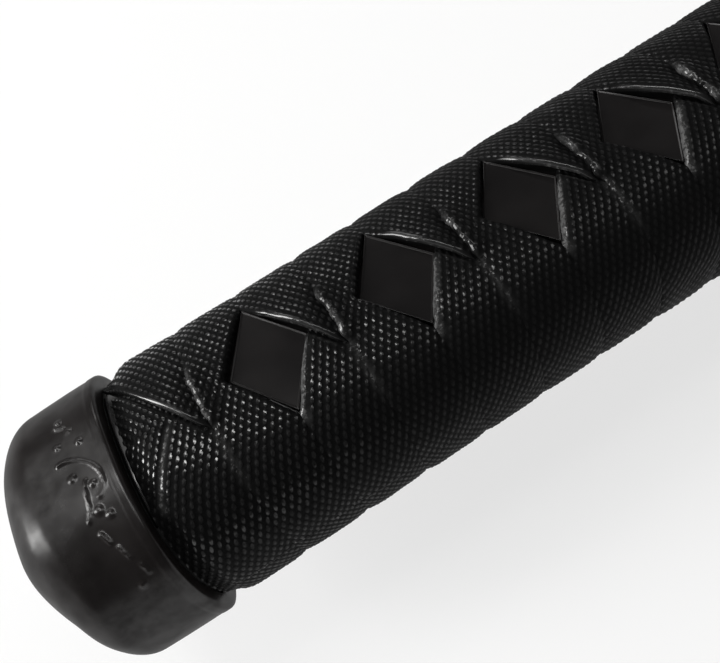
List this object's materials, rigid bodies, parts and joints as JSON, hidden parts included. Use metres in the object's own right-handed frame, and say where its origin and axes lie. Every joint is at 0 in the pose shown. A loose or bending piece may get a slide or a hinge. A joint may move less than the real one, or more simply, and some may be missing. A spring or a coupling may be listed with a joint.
{
  "type": "sword-pattern practice bat",
  "caption": "Blunt, slightly bent practice bat with a domed butt cap, an oval grip bound in criss-cross tape with diamond windows, a rounded square guard and a slim striking bar.",
  "frame": {"origin": "centre of the small flat on the end of the butt cap", "axes": "+X along the grip from the butt to the guard and the tip, +Z out of one broad side of the grip, +Y to the side that the striking bar bends towards"},
  "size_m": [0.9841, 0.0819, 0.072],
  "materials": {
    "butt_cap": "satin black moulded plastic with shallow worn relief",
    "grip_tape": "black woven tape with a slight polish on the high threads",
    "side_panel": "smooth satin black",
    "grip_core": "matt black",
    "fittings": "black satin coating",
    "striking_bar": "satin black moulded plastic",
    "peg": "dark nylon"
  },
  "bodies": {
    "root": {"butt_cap": "butt_cap", "grip_core_upper": "grip_core", "grip_core_lower": "grip_core", "side_panel_upper": "side_panel", "side_panel_lower": "side_panel", "under_tape": "grip_tape", "over_tape": "grip_tape", "grip_collar": "fittings", "guard_washer_rear": "fittings", "guard": "fittings", "guard_washer_front": "fittings", "bar_collar": "fittings", "striking_bar": "striking_bar", "front_peg": "peg", "rear_peg": "peg"}
  },
  "joints": []
}
